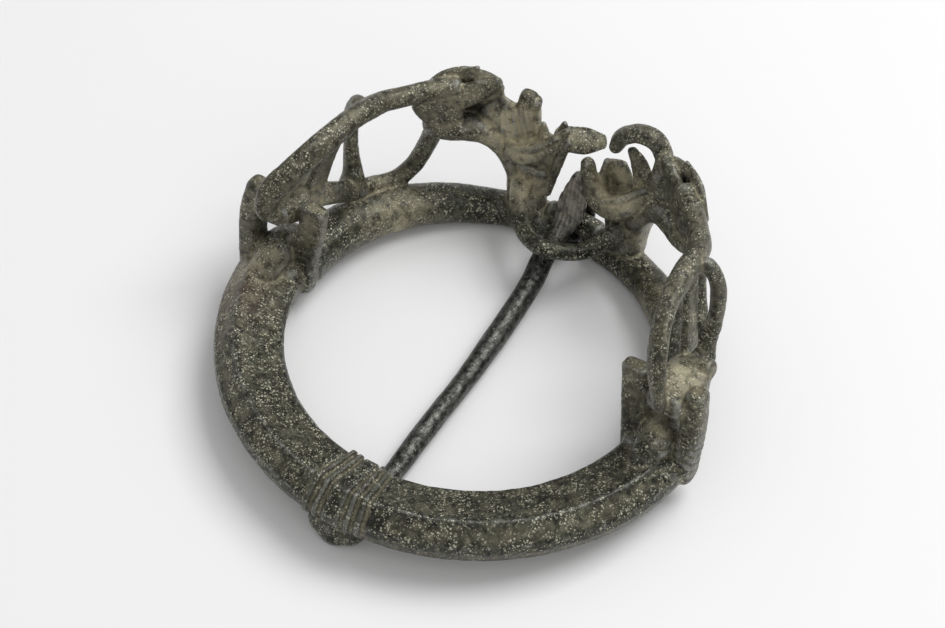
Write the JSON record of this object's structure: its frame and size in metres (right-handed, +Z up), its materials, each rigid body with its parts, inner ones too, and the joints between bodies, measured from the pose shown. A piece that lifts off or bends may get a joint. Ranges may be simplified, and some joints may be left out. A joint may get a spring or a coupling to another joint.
{
  "type": "annular fibula brooch",
  "caption": "Cast ring brooch: a heavy faceted front arc with a ribbed collar, an openwork crest of two facing beasts behind, and a hinged pin across the middle.",
  "frame": {"origin": "middle of the brooch's outline, on the surface that it lies on", "axes": "+Z up out of the decorated side, +Y towards the pin's hinge and the crest, -Y towards the collar, +X along the hinge axis"},
  "size_m": [0.082, 0.0786, 0.0326],
  "materials": {
    "patinated_bronze": "dark olive patina, dusty and pitted",
    "worn_bronze": "dark grey, rubbed smooth"
  },
  "bodies": {
    "brooch": {"brooch_body": "patinated_bronze"},
    "pin": {"pin": "worn_bronze"}
  },
  "joints": [
    {"name": "pin_hinge", "type": "hinge", "parent": "brooch", "child": "pin", "pos_m": [-0.00031, 0.03338, 0.00399], "axis": [1, 0, 0], "range_deg": [0, 90]}
  ]
}
